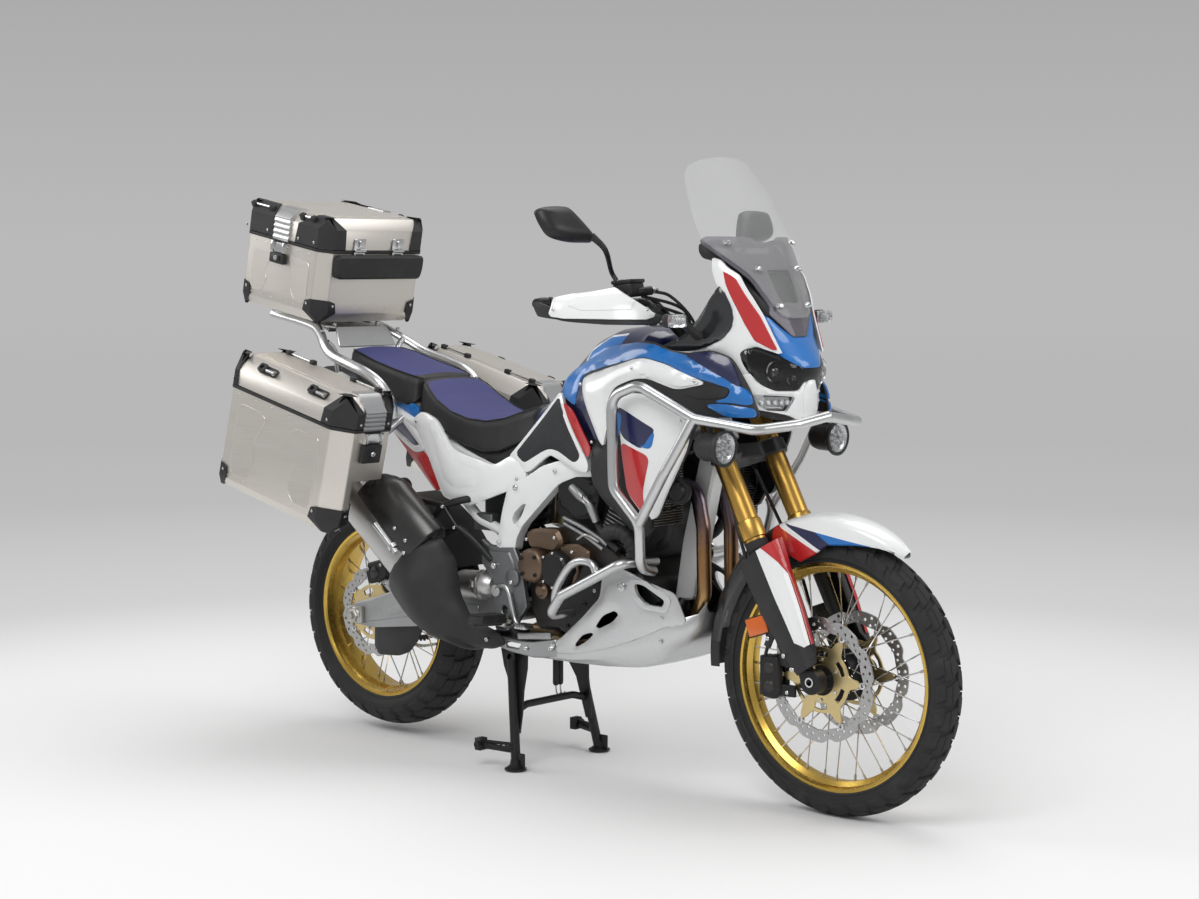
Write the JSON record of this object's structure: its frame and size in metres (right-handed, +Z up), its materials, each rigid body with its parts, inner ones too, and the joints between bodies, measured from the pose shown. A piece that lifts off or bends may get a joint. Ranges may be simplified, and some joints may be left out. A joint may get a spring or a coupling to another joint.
{
  "type": "adventure motorcycle",
  "caption": "Adventure motorcycle with wire-spoked wheels, tall screen, crash bars, aluminium side cases and top case, standing on its centre stand.",
  "frame": {"origin": "on the floor, in the middle of the machine's overall length and width", "axes": "+X forwards, +Y to the rider's left, +Z up"},
  "size_m": [2.3878, 0.944, 1.626],
  "materials": {
    "tyre": "tread rubber",
    "gold_rim": "gold anodised",
    "black_metal": "satin black",
    "disc_steel": "ground",
    "axle_steel": "satin",
    "gold_tube": "gold anodised",
    "black_plastic": "fine grain",
    "white_paint": "gloss",
    "white_plastic": "gloss",
    "blue_plastic": "gloss",
    "silver_metal": "satin silver",
    "engine_metal": "satin dark",
    "header_metal": "heat tinted",
    "muffler_metal": "satin",
    "skid_metal": "satin",
    "radiator_metal": "matt black",
    "tank_paint": "gloss tricolour",
    "seat_vinyl": "grained vinyl",
    "screen": "clear",
    "lamp_glass": "clear",
    "display": "gloss",
    "rack_metal": "satin",
    "chain_steel": "oiled",
    "case_metal": "brushed",
    "stand_metal": "satin black"
  },
  "bodies": {
    "chassis": {"main_frame": "white_paint", "subframe": "white_paint", "swingarm": "silver_metal", "engine": "engine_metal", "exhaust_headers": "header_metal", "muffler": "muffler_metal", "skid_plate": "skid_metal", "radiators": "radiator_metal", "fuel_tank": "tank_paint", "rider_seat": "seat_vinyl", "pillion_seat": "seat_vinyl", "side_covers": "white_plastic", "rear_fender": "black_plastic", "side_fairings": "blue_plastic", "front_cowl": "white_plastic", "headlamp": "lamp_glass", "windscreen": "screen", "instrument_panel": "display", "turn_signals": "black_plastic", "fog_lamps": "black_plastic", "upper_crash_bars": "silver_metal", "lower_crash_bars": "silver_metal", "luggage_racks": "rack_metal", "footpegs": "black_metal", "shock_absorber": "axle_steel", "drive_chain": "chain_steel", "rear_caliper": "black_metal", "rear_hugger": "black_plastic", "rear_axle": "axle_steel", "top_box": "case_metal", "left_pannier": "case_metal", "right_pannier": "case_metal"},
    "steering": {"fork_tubes": "gold_tube", "fork_sliders": "black_metal", "fork_clamps": "black_metal", "handlebar": "black_metal", "handguards": "white_plastic", "mirrors": "black_plastic", "front_fender": "white_plastic", "front_calipers": "black_metal", "front_axle": "axle_steel"},
    "front_wheel": {"front_tyre": "tyre", "front_rim": "gold_rim", "front_hub": "axle_steel", "front_discs": "disc_steel"},
    "rear_wheel": {"rear_tyre": "tyre", "rear_rim": "gold_rim", "rear_hub": "axle_steel", "rear_disc": "disc_steel", "rear_sprocket": "black_metal"},
    "centre_stand": {"centre_stand": "stand_metal"},
    "side_stand": {"side_stand": "stand_metal"},
    "top_box_lid": {"top_box_lid": "case_metal"},
    "left_pannier_lid": {"left_pannier_lid": "case_metal"},
    "right_pannier_lid": {"right_pannier_lid": "case_metal"}
  },
  "joints": [
    {"name": "steering", "type": "hinge", "parent": "chassis", "child": "steering", "pos_m": [0.78284, 0, 0.348], "axis": [-0.4617, 0, 0.887], "range_deg": [-43, 43]},
    {"name": "front_wheel_spin", "type": "hinge", "parent": "steering", "child": "front_wheel", "pos_m": [0.851, 0, 0.348], "axis": [0, 1, 0], "continuous": true},
    {"name": "rear_wheel_spin", "type": "hinge", "parent": "chassis", "child": "rear_wheel", "pos_m": [-0.724, 0, 0.355], "axis": [0, 1, 0], "continuous": true},
    {"name": "centre_stand_fold", "type": "hinge", "parent": "chassis", "child": "centre_stand", "pos_m": [-0.139, 0, 0.3], "axis": [0, 1, 0], "range_deg": [0, 72]},
    {"name": "side_stand_fold", "type": "hinge", "parent": "chassis", "child": "side_stand", "pos_m": [0.001, 0.196, 0.287], "axis": [0, -0.9703, -0.2419], "range_deg": [0, 95]},
    {"name": "top_box_lid_hinge", "type": "hinge", "parent": "chassis", "child": "top_box_lid", "pos_m": [-0.79609, 0, 1.38993], "axis": [0, 1, 0], "range_deg": [0, 80]},
    {"name": "left_pannier_lid_hinge", "type": "hinge", "parent": "chassis", "child": "left_pannier_lid", "pos_m": [-0.91966, 0, 1.03368], "axis": [0, -1, 0], "range_deg": [0, 80]},
    {"name": "right_pannier_lid_hinge", "type": "hinge", "parent": "chassis", "child": "right_pannier_lid", "pos_m": [-0.91966, 0, 1.03368], "axis": [0, -1, 0], "range_deg": [0, 80]}
  ]
}
